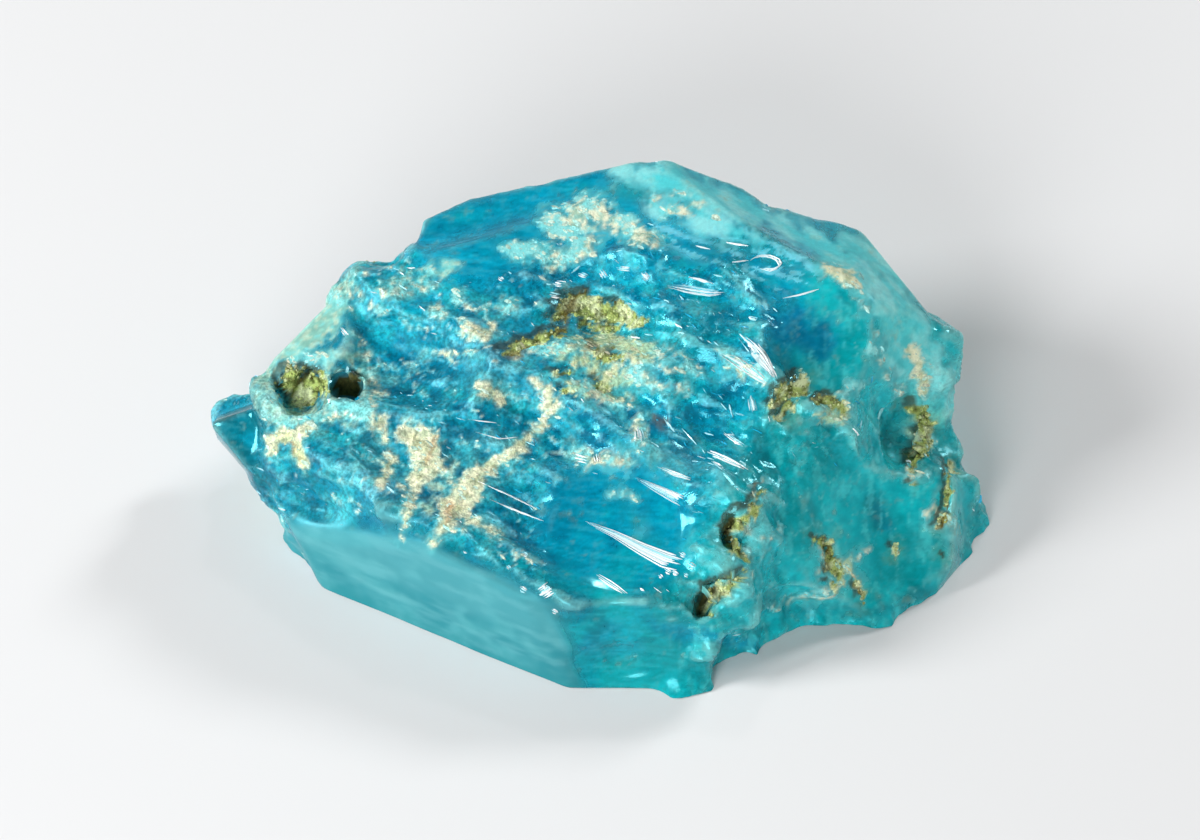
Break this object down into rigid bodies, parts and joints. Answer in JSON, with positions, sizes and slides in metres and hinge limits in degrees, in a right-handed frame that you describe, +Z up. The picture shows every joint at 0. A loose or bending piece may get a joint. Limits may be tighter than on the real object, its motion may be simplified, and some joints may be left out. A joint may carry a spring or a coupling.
{
  "type": "rough blue topaz",
  "caption": "Single lump of rough blue topaz: a wedge with a flat frosted front cleavage face, a hackly sloping top with small mineral pockets, a pointed spur and a flat base to rest on.",
  "frame": {"origin": "middle of the stone's box on the flat base it rests on", "axes": "+X along the stone's length, from the pointed spur towards the blunt tongue; +Z up, square to the base; the low front edge faces -Y"},
  "size_m": [0.0436, 0.0288, 0.0144],
  "materials": {
    "topaz": "see-through blue crystal, glossy where it broke clean, frosted on worn faces, with cream crust and olive mineral grains in its pockets"
  },
  "bodies": {
    "root": {"rough_topaz": "topaz"}
  },
  "joints": []
}
